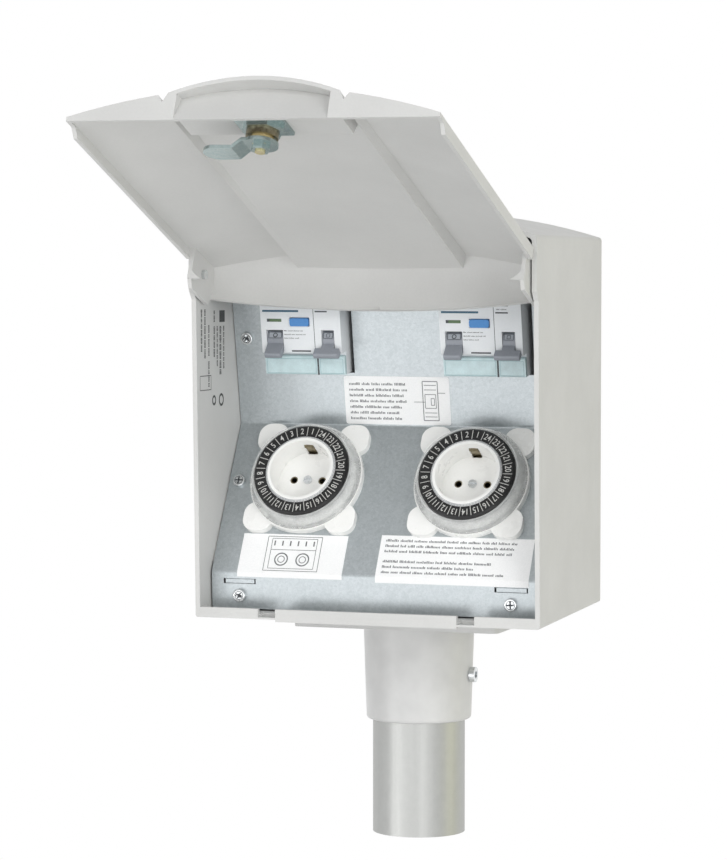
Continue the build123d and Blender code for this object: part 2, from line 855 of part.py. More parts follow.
def strap_slot(side):
    # The way through the well's side for one spring of the earth strap
    wall_mid = socket_well_dia / 2
    half = strap_width / 2 + strap_slot_fit
    reach = strap_thick + strap_slot_fit
    v0 = (wall_mid - strap_nose - strap_slot_fit) * side
    v1 = (wall_mid + reach) * side
    low = socket_floor_h - socket_floor_thick
    return block(-half, half, min(v0, v1), max(v0, v1), low, strap_top_h + strap_slot_fit)


def socket_insert():
    under = socket_floor_h - socket_floor_thick
    body = rod(socket_outer_dia / 2, under, socket_rim_h)
    body -= rod(socket_well_dia / 2, socket_floor_h, socket_rim_h)
    rim = body.edges().filter_by(GeomType.CIRCLE).group_by(Axis.Z)[-1]
    body = fillet(rim.sort_by(SortBy.RADIUS)[-1], (socket_outer_dia - socket_well_dia) / 6)
    for x in (-pin_spacing / 2, pin_spacing / 2):
        body -= rod(pin_hole_dia / 2, under, socket_floor_h, x, 0)
    body -= rod(socket_screw_dia / 2 + seat_fit, under, socket_floor_h)
    for side in (-1, 1):
        body -= strap_slot(side)
    return body


def pin_sleeve(side):
    top = socket_floor_h - sleeve_sunk
    outer = pin_hole_dia / 2 - seat_fit
    x = pin_spacing / 2 * side
    bottom = top - sleeve_long
    return rod(outer, bottom, top, x, 0) - rod(outer - sleeve_wall, bottom, top, x, 0)


def earth_strap():
    # One bent strip: a bar under the insert and a spring up each side of the well
    under = socket_floor_h - socket_floor_thick - flat_gap
    reach = socket_well_dia / 2 + strap_thick
    half = strap_width / 2
    strap = block(-half, half, -reach, reach, under - strap_thick, under)
    for side in (-1, 1):
        wall = socket_well_dia / 2
        v0, v1 = sorted((wall * side, reach * side))
        strap += block(-half, half, v0, v1, under - strap_thick, strap_top_h)
        tip = strap_top_h
        nose_v = (wall - strap_nose) * side
        nose = [(wall * side, tip), (nose_v, tip - strap_nose * 2), (wall * side, tip - strap_nose * 4)]
        strap += prism_along_x(nose, -half, half)
    strap -= rod(socket_screw_dia / 2 + seat_fit, under - strap_thick, under)
    return strap


def socket_screw():
    top = socket_floor_h + socket_screw_head_high
    head = rod(socket_screw_head_dia / 2, socket_floor_h, top)
    half = screw_slot_width / 2
    reach = socket_screw_head_dia / 2
    head -= block(-reach, reach, -half, half, top - socket_screw_head_high / 2, top)
    end = socket_floor_h - socket_floor_thick - flat_gap - strap_thick
    return head + rod(socket_screw_dia / 2, end, socket_floor_h)


# Supply

def supply_terminals():
    half = block_width / 2
    back = -housing_wall - flat_gap / 3
    body = block(-half, half, back - block_deep, back, block_z, block_z + block_height)
    body = fillet(body.edges().filter_by(Axis.Y), block_round)
    pitch = block_width / (block_ways + 1)
    for i in range(block_ways):
        x = pitch * (i + 1) - half
        for share in (1 / 4, 3 / 4):
            z = block_z + block_height * share
            hole = Cylinder(block_way_dia / 2, block_way_deep)
            body -= Pos(x, back - block_deep + block_way_deep / 2, z) * Rot(90, 0, 0) * hole
    return body


def earth_bar():
    back = -housing_wall - flat_gap / 3
    half = earth_bar_width / 2
    front = back - earth_boss_long - earth_bar_deep
    bar = block(earth_bar_x - half, earth_bar_x + half, front, front + earth_bar_deep,
                earth_bar_z, earth_bar_z + earth_bar_height)
    middle_z = earth_bar_z + earth_bar_height / 2
    for x in (earth_bar_x - half + earth_boss_dia / 2, earth_bar_x + half - earth_boss_dia / 2):
        boss = Cylinder(earth_boss_dia / 2, earth_boss_long)
        bar += Pos(x, back - earth_boss_long / 2, middle_z) * Rot(90, 0, 0) * boss
    pitch = earth_bar_width / (earth_screws + 1)
    for i in range(earth_screws):
        x = earth_bar_x - half + pitch * (i + 1)
        hole = Cylinder(earth_screw_dia / 2, earth_screw_deep)
        bar -= Pos(x, front + earth_screw_deep / 2, middle_z) * Rot(90, 0, 0) * hole
    return bar


# Lid

def wing_h(x):
    return wing_edge_h - wing_rise * (1 - (x / wing_arc_reach) ** 2)


def lid_section(s, half, inset, edge, top, groove_bottom):
    # The outline across the lid: two arched wings, two grooves and the band between them
    far = overrun * 4
    g_out = groove_x + groove_half_width
    g_in = groove_x - groove_half_width
    mid = (half + g_out) / 2
    wing_mid = wing_h(mid) + inset
    lines = []
    for side in (-1, 1):
        lines.append(Line((half * side, far), (half * side, wing_h(half) + inset)))
        wing_in = (g_out * side, wing_h(g_out) + inset)
        lines.append(ThreePointArc((half * side, wing_h(half) + inset), (mid * side, wing_mid), wing_in))
        lines.append(Line(wing_in, (groove_x * side, groove_bottom + inset)))
        lines.append(Line((groove_x * side, groove_bottom + inset), (g_in * side, edge + inset)))
    lines.append(ThreePointArc((-g_in, edge + inset), (0, top + inset), (g_in, edge + inset)))
    lines.append(Line((-half, far), (half, far)))
    face = make_face(lines)
    plane = Plane(origin=(0, s, 0), x_dir=(1, 0, 0), z_dir=(0, -1, 0))
    return plane * face


def lid_envelope(half, inset, from_s, to_s):
    # The solid under the lid's outer surface, or under one that lies a wall further in
    def shape_at(s):
        share = (s - envelope_from_s) / (lid_end_s - envelope_from_s)
        edge = band_edge_h + (crown_edge_h - band_edge_h) * share
        top = band_top_h + (crown_top_h - band_top_h) * share
        groove = band_groove_h + (groove_h - band_groove_h) * share
        return lid_section(s, half, inset, edge, top, groove)

    return loft([shape_at(from_s), shape_at(to_s)], ruled=True)


def barrel(half, inset):
    # A body of revolution about the hinge line, so that the hood turns under the roof's edge
    middle = barrel_mid_radius - inset
    drop = (barrel_mid_radius - barrel_end_radius) * (half / hood_half_width) ** 2
    end = middle - drop
    arc = ThreePointArc((-half, end), (0, middle), (half, end))
    walls = Polyline((half, end), (half, 0), (-half, 0), (-half, end))
    solid = revolve(make_face(arc + walls), Axis.X, 360)
    return Pos(0, pivot_s, pivot_h) * solid


def hood_space(half, inset, back_h, to_s):
    # The room of the hood between the ears: a barrel above the hinge and a straight part below
    far = overrun * 4
    straight = block(-half, half, pivot_s, to_s, -far, pivot_h)
    room = barrel(half, inset) + straight
    return room & block(-half, half, -far, to_s, -far, back_h)


def rim_cutter(high):
    # All that lies inwards of the lid's rim, which steps towards the front near the free end
    half = lid_half_width + overrun
    points = [
        (wide_from_s - overrun, lid_side_h), (rim_slope_from_s, lid_side_h),
        (rim_slope_from_s + overrun / 2, lid_end_rim_h), (lid_end_s + overrun, lid_end_rim_h),
        (lid_end_s + overrun, high), (wide_from_s - overrun, high),
    ]
    return prism_along_x(points, -half, half)


def grip_form(grow):
    # The hand hold under the crown's edge at the free end, with a sloping back
    end = lid_end_s + overrun
    half = grip_half_width + grow
    profile = [(lid_end_s - grow, lid_end_rim_h), (end, lid_end_rim_h),
               (end, crown_top_h), (grip_wall_s - grow, crown_top_h)]
    wedge = prism_along_x(profile, -half, half)
    under_crown = lid_envelope(lid_half_width, lid_wall - grow, grip_wall_s - overrun, end)
    return wedge & under_crown


def lock_platform():
    # The flat inside the free end that the lock's nut is tightened against
    low = platform_half_width
    high = platform_half_width + platform_slope
    s0 = platform_from_s
    s1 = lid_end_s - lid_wall
    face = make_face(Polyline((-low, s0), (low, s0), (low, s1), (-low, s1), close=True))
    deep = make_face(Polyline((-high, s0 - platform_slope), (high, s0 - platform_slope),
                              (high, s1), (-high, s1), close=True))
    return loft([Pos(0, 0, platform_h) * face, Pos(0, 0, crown_top_h) * deep], ruled=True)


def lid():
    far = overrun * 4
    shoulder_s = wide_from_s + lid_wall
    wide = lid_half_width
    tray = block(-wide, wide, wide_from_s, lid_end_s, -far, far) - rim_cutter(far + overrun)
    room = tray + hood_space(hood_half_width, 0, hood_edge_h, shoulder_s)
    body = lid_envelope(wide, 0, envelope_from_s, lid_end_s) & room
    for side in (-1, 1):
        x0, x1 = sorted(((hood_half_width - lid_wall) * side, hood_half_width * side))
        disc = Pos(0, pivot_s, pivot_h) * Rot(0, 90, 0) * Cylinder(cheek_radius, hood_half_width * 2)
        body += disc & block(x0, x1, -far, far + pivot_s, pivot_h, cheek_back_h)
    inner = wide - lid_wall
    hollow = block(-inner, inner, shoulder_s, lid_end_s - lid_wall, -far, far)
    hollow += hood_space(hood_half_width - lid_wall, lid_wall, far, shoulder_s + overrun)
    hollow = lid_envelope(inner, lid_wall, envelope_from_s, lid_end_s) & hollow
    body -= hollow - grip_form(lid_wall) - lock_platform()
    body -= grip_form(0)
    for side in (-1, 1):
        hole = Cylinder(hinge_pin_dia / 2 + run_fit, hood_half_width / 4)
        body -= Pos(hood_half_width * side, pivot_s, pivot_h) * Rot(0, 90, 0) * hole
    body -= rod(lock_flange_dia / 2 + flat_gap, crown_top_h - overrun, lock_seat_h, 0, lock_s)
    body -= rod(lock_body_dia / 2 + seat_fit, crown_top_h, lock_body_end_h, 0, lock_s)
    return body


def hinge_pin(side):
    length = hinge_pin_outer_x - hinge_pin_inner_x
    middle = (hinge_pin_outer_x + hinge_pin_inner_x) / 2
    return Pos(middle * side, pivot_y, pivot_z) * Rot(0, 90, 0) * Cylinder(hinge_pin_dia / 2, length)


# Lock, drawn about its own axis in the lid's frame

def lock_body():
    flange = rod(lock_flange_dia / 2, lock_seat_h - lock_flange_thick, lock_seat_h)
    flange = fillet(flange.edges().group_by(Axis.Z)[0], lock_flange_thick / 3)
    body = flange + rod(lock_body_dia / 2, lock_seat_h, lock_body_end_h)
    return body - rod(lock_bore_dia / 2, lock_seat_h - lock_flange_thick, lock_body_end_h)


def lock_plate():
    outline = RectangleRounded(lock_plate_width, lock_plate_height, lock_plate_thick)
    plate = Pos(0, 0, platform_h) * extrude(outline, lock_plate_thick)
    top = platform_h + lock_plate_thick
    return plate - rod(lock_body_dia / 2 + seat_fit, platform_h, top)


def lock_nut():
    low = platform_h + lock_plate_thick
    nut = Pos(0, 0, low) * extrude(RegularPolygon(lock_nut_across / 2, 6), lock_nut_thick)
    return nut - rod(lock_body_dia / 2 + seat_fit, low, low + lock_nut_thick)


def lock_plug():
    top = lock_seat_h - lock_flange_thick
    plug = rod(lock_bore_dia / 2 - run_fit, top, plug_square_h)
    half_long = plug_slot_long / 2
    half_wide = plug_slot_width / 2
    plug -= block(-half_long, half_long, -half_wide, half_wide, top, top + plug_slot_deep)
    half = plug_square / 2
    plug += block(-half, half, -half, half, plug_square_h, plug_square_h + cam_thick)
    stud_end = plug_square_h + cam_thick + cam_nut_thick + cam_thick / 2
    return plug + rod(cam_stud_dia / 2, plug_square_h, stud_end)


def lock_cam():
    # A flat lever with an offset bend, its planform cut through by its side view
    low = plug_square_h
    far = low + cam_joggle + cam_thick
    root = cam_root_width / 2
    tip = cam_tip_width / 2
    tip_x = -(cam_reach - tip)
    outline = Circle(cam_hub_dia / 2)
    outline += make_face(Polyline((0, -root), (tip_x, -tip), (tip_x, tip), (0, root), close=True))
    outline += Pos(tip_x, 0) * Circle(tip)
    blank = Pos(0, 0, low) * extrude(outline, far - low)
    right = cam_hub_dia / 2
    left = -cam_reach
    bent = low + cam_joggle
    under = [(right, low), (-cam_joggle_from, low), (-cam_joggle_to, bent), (left, bent)]
    over = offset_line(under, -cam_thick)
    side_face = make_face(Plane.XZ * Polyline(*(under + over[::-1]), close=True))
    side_view = extrude(side_face, cam_hub_dia, dir=(0, 1, 0), both=True)
    half = plug_square / 2 + seat_fit
    cam = blank & side_view
    return cam - block(-half, half, -half, half, low, low + cam_thick)


def cam_nut():
    low = plug_square_h + cam_thick
    nut = Pos(0, 0, low) * extrude(RegularPolygon(cam_nut_across / 2, 6), cam_nut_thick)
    return nut - rod(cam_stud_dia / 2 + seat_fit, low, low + cam_nut_thick)


def main():
    os.makedirs("parts", exist_ok=True)
    save(post_tube(), "post_tube")
    save(Pos(0, 0, tube_below_housing) * post_collar(), "post_collar")
    save(Pos(0, 0, tube_below_housing) * collar_screw(), "collar_screw")
    save(housing_place * flange_plate(), "flange_plate")
    for number, (x, y) in enumerate(flange_bolt_places(), 1):
        save(housing_place * flange_bolt(x, y), f"flange_bolt_{number}")
    save(housing_place * housing(), "housing")
    save(housing_place * cover_plate(), "cover_plate")
    for name, frame, x, v in plate_screw_places():
        save(housing_place * frame.location * countered_screw(x, v), name)
    upper_place = housing_place * upper_frame.location
    save(upper_place * din_rail(), "din_rail")
    save(housing_place * supply_terminals(), "supply_terminals")
    save(housing_place * earth_bar(), "earth_bar")
    for word, left in (("left", left_group_x), ("right", right_group_x)):
        side = math.copysign(1, left)
        save(housing_place * rail_bracket(bracket_x * side), f"rail_bracket_{word}")
        mcb = breaker_left(left)
        save(upper_place * residual_body(left), f"rcd_body_{word}")
        save(upper_place * breaker_body(mcb), f"mcb_body_{word}")
        lever = toggle(left + residual_toggle_x, residual_toggle_width, residual_toggle_width)
        save(upper_place * lever, f"rcd_toggle_{word}")
        lever = toggle(mcb + breaker_width / 2, toggle_neck_width, toggle_wide_width)
        save(upper_place * lever, f"mcb_toggle_{word}")
        save(upper_place * test_button(left), f"rcd_button_{word}")
        save(upper_place * terminal_cover(left), f"terminal_cover_{word}")
    for word, x in (("left", -timer_x), ("right", timer_x)):
        place = housing_place * middle_frame.location * Pos(x, timer_v, 0)
        save(place * timer_case(), f"timer_case_{word}")
        save(place * timer_base(), f"timer_base_{word}")
        save(place * timer_collar(), f"timer_collar_{word}")
        save(place * timer_dial(), f"timer_dial_{word}")
        save(place * socket_insert(), f"socket_insert_{word}")
        save(place * pin_sleeve(-1), f"pin_sleeve_{word}_a")
        save(place * pin_sleeve(1), f"pin_sleeve_{word}_b")
        save(place * earth_strap(), f"earth_strap_{word}")
        save(place * socket_screw(), f"socket_screw_{word}")
    save(lid_place * lid(), "lid")
    save(housing_place * hinge_pin(-1), "hinge_pin_left")
    save(housing_place * hinge_pin(1), "hinge_pin_right")
    lock_place = lid_place * Pos(0, lock_s, 0)
    save(lock_place * lock_body(), "lock_body")
    save(lock_place * lock_plate(), "lock_plate")
    save(lock_place * lock_nut(), "lock_nut")
    save(lock_place * lock_plug(), "lock_plug")
    save(lock_place * lock_cam(), "lock_cam")
    save(lock_place * cam_nut(), "cam_nut")


main()
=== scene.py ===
import json
import math
import random

import bpy
from mathutils import Matrix, Vector


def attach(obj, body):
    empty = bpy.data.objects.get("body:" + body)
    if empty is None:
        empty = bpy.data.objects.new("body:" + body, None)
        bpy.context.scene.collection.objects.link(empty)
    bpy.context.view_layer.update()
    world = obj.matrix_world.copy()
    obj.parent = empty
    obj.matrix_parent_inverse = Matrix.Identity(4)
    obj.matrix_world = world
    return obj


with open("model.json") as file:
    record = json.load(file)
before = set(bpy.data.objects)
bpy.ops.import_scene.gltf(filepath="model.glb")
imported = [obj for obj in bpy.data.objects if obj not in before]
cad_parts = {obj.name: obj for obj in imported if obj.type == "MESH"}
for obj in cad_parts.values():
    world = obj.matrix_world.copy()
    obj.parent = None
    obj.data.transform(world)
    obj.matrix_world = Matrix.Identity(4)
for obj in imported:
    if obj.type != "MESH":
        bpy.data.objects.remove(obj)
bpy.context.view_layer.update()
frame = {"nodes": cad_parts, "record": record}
nodes = frame["nodes"]
mm = 0.001
print("frame loaded:", len(nodes), "nodes")

# the cover plate's bends, in millimetres from the tube's lower end, and its upper part's lean in degrees
plate = {
    "foldY": -39.7, "foldZ": 266.4,
    "lowY": -92.2, "lowZ": 174.8,
    "footY": -90.9, "footZ": 151.4,
    "lean": 10.7,
}


class Face:
    # a flat frame on the object: x across, v up along it, h out of it, all in millimetres
    def __init__(self, origin, up, across=(1, 0, 0)):
        self.origin = Vector(origin)
        self.across = Vector(across).normalized()
        self.up = Vector(up).normalized()
        self.out = self.across.cross(self.up)

    def at(self, x, v, h):
        return (self.origin + self.across * x + self.up * v + self.out * h) * mm

    def matrix(self, x, v, h):
        axes = Matrix((self.across, self.up, self.out)).transposed().to_4x4()
        return Matrix.Translation(self.at(x, v, h)) @ axes


upperLean = math.radians(plate["lean"])
upperFace = Face((0, plate["foldY"], plate["foldZ"]), (0, -math.sin(upperLean), math.cos(upperLean)))
middleFace = Face((0, plate["lowY"], plate["lowZ"]),
                  (0, plate["foldY"] - plate["lowY"], plate["foldZ"] - plate["lowZ"]))
lipFace = Face((0, plate["lowY"], plate["lowZ"]),
               (0, plate["lowY"] - plate["footY"], plate["lowZ"] - plate["footZ"]))


# finishes, with all sizes and depths in millimetres: a class for a value in the nodes, so that maths is
# written as plain expressions, and one for the nodes of a material or the world

class Value:
    def __init__(self, finish, socket):
        self.finish = finish
        self.socket = socket

    def __add__(self, other):
        return self.finish.maths("ADD", self, other)

    def __radd__(self, other):
        return self.finish.maths("ADD", other, self)

    def __mul__(self, other):
        return self.finish.maths("MULTIPLY", self, other)

    def __rmul__(self, other):
        return self.finish.maths("MULTIPLY", other, self)


class Finish:
    def __init__(self, owner):
        self.owner = owner
        self.owner.use_nodes = True
        self.tree = self.owner.node_tree
        self.tree.nodes.clear()

    def add(self, kind, settings=None, sockets=None):
        node = self.tree.nodes.new("ShaderNode" + kind)
        for name, value in (settings or {}).items():
            setattr(node, name, value)
        for name, value in (sockets or {}).items():
            socket = node.inputs[name]
            if isinstance(value, Value):
                self.tree.links.new(value.socket, socket)
            elif socket.type == "RGBA":
                socket.default_value = (*value, 1)
            else:
                socket.default_value = value
        return node

    def out(self, node, name=0):
        return Value(self, node.outputs[name])

    def maths(self, operation, a, b):
        return self.out(self.add("Math", {"operation": operation}, {0: a, 1: b}))

    def point(self, stretch=(1, 1, 1)):
        where = self.out(self.add("TexCoord"), "Object")
        if stretch == (1, 1, 1):
            return where
        node = self.add("VectorMath", {"operation": "MULTIPLY"}, {0: where, 1: stretch})
        return self.out(node, "Vector")

    def noise(self, size, detail, stretch=(1, 1, 1), rough=0.5):
        # size is that of the largest patches
        sockets = {"Vector": self.point(stretch), "Scale": 1 / (size * mm),
                   "Detail": detail, "Roughness": rough}
        return self.out(self.add("TexNoise", {}, sockets), "Fac")

    def cells(self, size):
        # a random grey for each cell
        node = self.add("TexVoronoi", {}, {"Vector": self.point(), "Scale": 1 / (size * mm)})
        return self.out(self.add("SeparateColor", {}, {"Color": self.out(node, "Color")}), "Red")

    def blend(self, share, first, second):
        node = self.add("Mix", {"data_type": "RGBA"}, {0: share, 6: first, 7: second})
        return self.out(node, 2)

    def between(self, value, low, high, fromLow=0.0, fromHigh=1.0):
        sockets = {"Value": value, "From Min": fromLow, "From Max": fromHigh, "To Min": low, "To Max": high}
        return self.out(self.add("MapRange", {}, sockets))

    def tones(self, pattern, first, second, spread):
        # from the first colour to the second as the pattern crosses the spread
        return self.blend(self.between(pattern, 0, 1, *spread), srgb(*first), srgb(*second))

    def bump(self, height, depth, strength=1.0):
        sockets = {"Height": height, "Distance": depth * mm, "Strength": strength}
        return self.out(self.add("Bump", {}, sockets))

    def shownRay(self, *kinds):
        # 1 for the kinds of ray that are given, 0 for all others
        path = self.add("LightPath")
        shown = self.out(path, kinds[0])
        for kind in kinds[1:]:
            shown = self.maths("MAXIMUM", shown, self.out(path, kind))
        return shown

    def surface(self, **sockets):
        named = {name.replace("_", " "): value for name, value in sockets.items()}
        shader = self.add("BsdfPrincipled", {}, named)
        self.add("OutputMaterial", {}, {"Surface": self.out(shader)})
        return self.owner


def newFinish(name):
    return Finish(bpy.data.materials.new(name))


def srgb(red, green, blue):
    # a colour as read off a picture, 0 to 255, as the light values that shaders use
    def linear(value):
        share = value / 255
        return share / 12.92 if share <= 0.04045 else ((share + 0.055) / 1.055) ** 2.4

    return (linear(red), linear(green), linear(blue))


# the part of a pattern's range over which one tone turns to the other
narrowSpread, plainSpread, wideSpread = (0.35, 0.65), (0.3, 0.7), (0.2, 0.8)

# mouldings: fine grain, slow drifts of tone and rubbed places that shine a little more
mouldingPattern = {
    "drift": 60, "driftShare": 0.7, "fleck": 1.3, "fleckShare": 0.3,
    "rub": 18, "rubShine": 0.06, "rubDull": 0.07, "coarse": 6, "coarseShare": 0.5,
}
mouldings = {
    "housingMoulding": {"light": (212, 212, 210), "dark": (205, 205, 203),
                        "rough": 0.46, "grain": 0.35, "depth": 0.012},
    "breakerPlastic": {"light": (236, 239, 241), "dark": (229, 233, 236),
                       "rough": 0.42, "grain": 0.25, "depth": 0.006},
    "togglePlastic": {"light": (154, 158, 166), "dark": (142, 147, 155),
                      "rough": 0.4, "grain": 0.25, "depth": 0.006},
    "testButton": {"light": (72, 140, 205), "dark": (62, 126, 192),
                   "rough": 0.32, "grain": 0.25, "depth": 0.005},
    "socketPlastic": {"light": (248, 248, 246), "dark": (242, 242, 239),
                      "rough": 0.3, "grain": 0.4, "depth": 0.004},
    "dialPlastic": {"light": (28, 28, 29), "dark": (20, 20, 21),
                    "rough": 0.42, "grain": 0.3, "depth": 0.006},
}


def moulding(name, light, dark, rough, grain, depth):
    finish, look = newFinish(name), mouldingPattern
    drift = finish.noise(look["drift"], 3)
    fleck = finish.noise(look["fleck"], 4)
    base = finish.tones(drift * look["driftShare"] + fleck * look["fleckShare"], dark, light, narrowSpread)
    rubbed = finish.noise(look["rub"], 4, rough=0.6)
    roughness = finish.between(rubbed, rough - look["rubShine"], rough + look["rubDull"], *plainSpread)
    height = finish.noise(grain, 3) + finish.noise(grain * look["coarse"], 2) * look["coarseShare"]
    return finish.surface(Base_Color=base, Roughness=roughness, Normal=finish.bump(height, depth))


# the cover plate: zinc spangle with finer flakes in it, and faint streaks along the sheet
sheetLook = {
    "cloud": 14, "cloudShare": 0.25, "spangle": 1.7, "spangleShare": 0.4, "flake": 0.7, "flakeShare": 0.35,
    "streak": 3, "streakShare": 0.6, "streakStretch": (6, 1, 0.5),
    "dark": (177, 184, 187), "light": (193, 199, 202), "metallic": 0.78, "rough": (0.3, 0.42),
    "depth": 0.01, "relief": 0.3,
}


def galvanisedSheet(look):
    finish = newFinish("galvanisedSheet")
    cloud = finish.noise(look["cloud"], 3)
    spangle, flake = finish.cells(look["spangle"]), finish.cells(look["flake"])
    streak = finish.noise(look["streak"], 3, look["streakStretch"])
    mixed = spangle * look["spangleShare"] + flake * look["flakeShare"] + cloud * look["cloudShare"]
    base = finish.tones(mixed, look["dark"], look["light"], wideSpread)
    worn = spangle * look["spangleShare"] + streak * look["streakShare"]
    normal = finish.bump(spangle * 0.5 + flake * 0.5, look["depth"], look["relief"])
    return finish.surface(Base_Color=base, Metallic=look["metallic"], Normal=normal,
                          Roughness=finish.between(worn, *look["rough"]))


# the tube: drawing lines and broad bands along it, and cloudy spots
tubeLook = {
    "line": 0.9, "lineStretch": (1, 1, 0.01), "band": 9, "bandStretch": (1, 1, 0.02), "spot": 7,
    "dark": (174, 175, 173), "light": (188, 189, 187), "metallic": 0.85, "rough": (0.36, 0.46),
    "depth": 0.003, "relief": 0.3,
}


def drawnAluminium(look):
    finish = newFinish("drawnAluminium")
    lines = finish.noise(look["line"], 2, look["lineStretch"])
    bands = finish.noise(look["band"], 2, look["bandStretch"])
    spots = finish.noise(look["spot"], 5, rough=0.7)
    base = finish.tones(bands * 0.5 + spots * 0.5, look["dark"], look["light"], plainSpread)
    roughness = finish.between(lines * 0.5 + spots * 0.5, *look["rough"], 0.25, 0.75)
    normal = finish.bump(lines, look["depth"], look["relief"])
    return finish.surface(Base_Color=base, Metallic=look["metallic"], Roughness=roughness, Normal=normal)


# the collar: paint with a light peel on a casting
collarLook = {"peel": 1.1, "drift": 22, "dark": (204, 204, 203), "light": (214, 214, 213),
              "rough": (0.3, 0.4), "depth": 0.03}


def castPaint(look):
    finish = newFinish("castPaint")
    peel = finish.noise(look["peel"], 3)
    drift = finish.noise(look["drift"], 3)
    return finish.surface(Base_Color=finish.tones(drift, look["dark"], look["light"], narrowSpread),
                          Roughness=finish.between(peel, *look["rough"]),
                          Normal=finish.bump(peel, look["depth"]))


# plated and plain small metal: blotches and fine scratches
metalPattern = {"patch": 2.2, "scratch": 0.4, "scratchStretch": (1, 8, 1), "shine": 0.08, "dull": 0.1,
                "depth": 0.008, "relief": 0.5}
metals = {
    "zincScrew": {"dark": (206, 210, 212), "light": (238, 240, 241), "rough": 0.2, "metallic": 1},
    "plainBrass": {"dark": (128, 118, 96), "light": (166, 156, 132), "rough": 0.3, "metallic": 1},
    "lockBrass": {"dark": (206, 190, 138), "light": (234, 224, 184), "rough": 0.16, "metallic": 0.7},
    "zincPlate": {"dark": (162, 178, 177), "light": (180, 193, 192), "rough": 0.2, "metallic": 1},
}


def metal(name, dark, light, rough, metallic):
    finish, look = newFinish(name), metalPattern
    patch = finish.noise(look["patch"], 4, rough=0.65)
    scratch = finish.noise(look["scratch"], 2, look["scratchStretch"])
    base = finish.tones(patch, dark, light, plainSpread)
    worn = patch * 0.5 + scratch * 0.5
    roughness = finish.between(worn, rough - look["shine"], rough + look["dull"], *plainSpread)
    normal = finish.bump(scratch, look["depth"], look["relief"])
    return finish.surface(Base_Color=base, Metallic=metallic, Roughness=roughness, Normal=normal)


# clear parts: cover is how much of what lies behind them they hide
clearPattern = {"wave": 7, "speck": 0.9, "paler": 1.08, "vary": 0.06, "depth": 0.05, "relief": 0.5,
                "gloss": 0.6}
clears = {
    "terminalClear": {"colour": (212, 234, 237), "cover": 0.82, "rough": 0.08},
    "collarClear": {"colour": (240, 242, 241), "cover": 0.34, "rough": 0.07},
}


def clearPlastic(name, colour, cover, rough):
    finish, look = newFinish(name), clearPattern
    wave = finish.noise(look["wave"], 2)
    speck = finish.noise(look["speck"], 3)
    tint = srgb(*colour)
    pale = [min(1, part * look["paler"]) for part in tint]
    base = finish.blend(finish.between(wave, 0, 1, *plainSpread), tint, pale)
    cloudy = wave * 0.5 + speck * 0.5
    alpha = finish.between(cloudy, cover - look["vary"], cover + look["vary"], *plainSpread)
    normal = finish.bump(wave, look["depth"], look["relief"])
    return finish.surface(Base_Color=base, Roughness=rough, Alpha=alpha, Normal=normal,
                          Specular_IOR_Level=look["gloss"])


paperLook = {"fibre": 0.8, "dark": (242, 243, 243), "light": (250, 250, 250),
             "rough": (0.32, 0.44), "depth": 0.006}


def labelPaper(look):
    finish = newFinish("labelPaper")
    fibre = finish.noise(look["fibre"], 4)
    return finish.surface(Base_Color=finish.tones(fibre, look["dark"], look["light"], plainSpread),
                          Roughness=finish.between(fibre, *look["rough"]),
                          Normal=finish.bump(fibre, look["depth"]))


# inks, full and faded, and painted shade of the same flat kind: the rim's grey shades each socket's well, and
# the dark and label inks also paint the shade on the screw heads
inkAndShadePattern = {"dot": 0.35, "rough": (0.4, 0.55)}
inksAndShades = {
    "labelInkAndShade": ((84, 86, 88), (112, 114, 116)),
    "dialInk": ((222, 222, 218), (186, 186, 183)),
    "windowInk": ((178, 183, 190), (164, 169, 177)),
    # painted shade at the edge of each socket's well
    "rimShadeGrey": ((160, 162, 164), (184, 186, 188)),
    "wallInk": ((34, 34, 34), (66, 66, 65)),
    "darkInkAndShade": ((52, 56, 60), (84, 88, 92)),
    "greenInk": ((78, 104, 72), (98, 122, 88)),
    "blueInk": ((36, 78, 100), (62, 108, 132)),
    "edgeInk": ((142, 176, 182), (164, 194, 199)),
}


def ink(name, full, faded):
    finish = newFinish(name)
    dots = finish.noise(inkAndShadePattern["dot"], 3)
    return finish.surface(Base_Color=finish.tones(dots, full, faded, narrowSpread),
                          Roughness=finish.between(dots, *inkAndShadePattern["rough"]))


finishes = {
    "galvanisedSheet": galvanisedSheet(sheetLook), "drawnAluminium": drawnAluminium(tubeLook),
    "castPaint": castPaint(collarLook), "labelPaper": labelPaper(paperLook),
}
finishes.update({name: moulding(name, **look) for name, look in mouldings.items()})
finishes.update({name: metal(name, **look) for name, look in metals.items()})
finishes.update({name: clearPlastic(name, **look) for name, look in clears.items()})
finishes.update({name: ink(name, full, faded) for name, (full, faded) in inksAndShades.items()})

slotFinish = {
    "tube_aluminium": "drawnAluminium", "collar_paint": "castPaint", "screw_steel": "zincScrew",
    "grey_moulding": "housingMoulding", "galvanised_sheet": "galvanisedSheet",
    "breaker_plastic": "breakerPlastic", "toggle_plastic": "togglePlastic", "button_plastic": "testButton",
    "terminal_clear": "terminalClear", "socket_plastic": "socketPlastic", "collar_clear": "collarClear",
    "dial_plastic": "dialPlastic", "brass_parts": "plainBrass", "lock_brass": "lockBrass",
    "zinc_parts": "zincPlate",
}
nodeSlot = {part["node"]: part["material_slot"] for part in frame["record"]["subparts"]}
for name, piece in nodes.items():
    piece.data.materials.clear()
    piece.data.materials.append(finishes[slotFinish[nodeSlot[name]]])
print("finishes:", len(finishes))


# flat printed pieces, made of sheets: each is a ring of corners with the number of its finish

def newPiece(name, points, faces, finishNames):
    mesh = bpy.data.meshes.new(name)
    mesh.from_pydata(points, [], faces)
    for finish in finishNames:
        mesh.materials.append(finishes[finish])
    piece = bpy.data.objects.new(name, mesh)
    bpy.context.scene.collection.objects.link(piece)
    return piece


def flatPiece(name, sheets, finishNames):
    points, faces = [], []
    for ring, kind in sheets:
        start = len(points)
        points += ring
        faces.append(list(range(start, start + len(ring))))
    piece = newPiece(name, points, faces, finishNames)
    for polygon, (ring, kind) in zip(piece.data.polygons, sheets):
        polygon.material_index = kind
    return piece


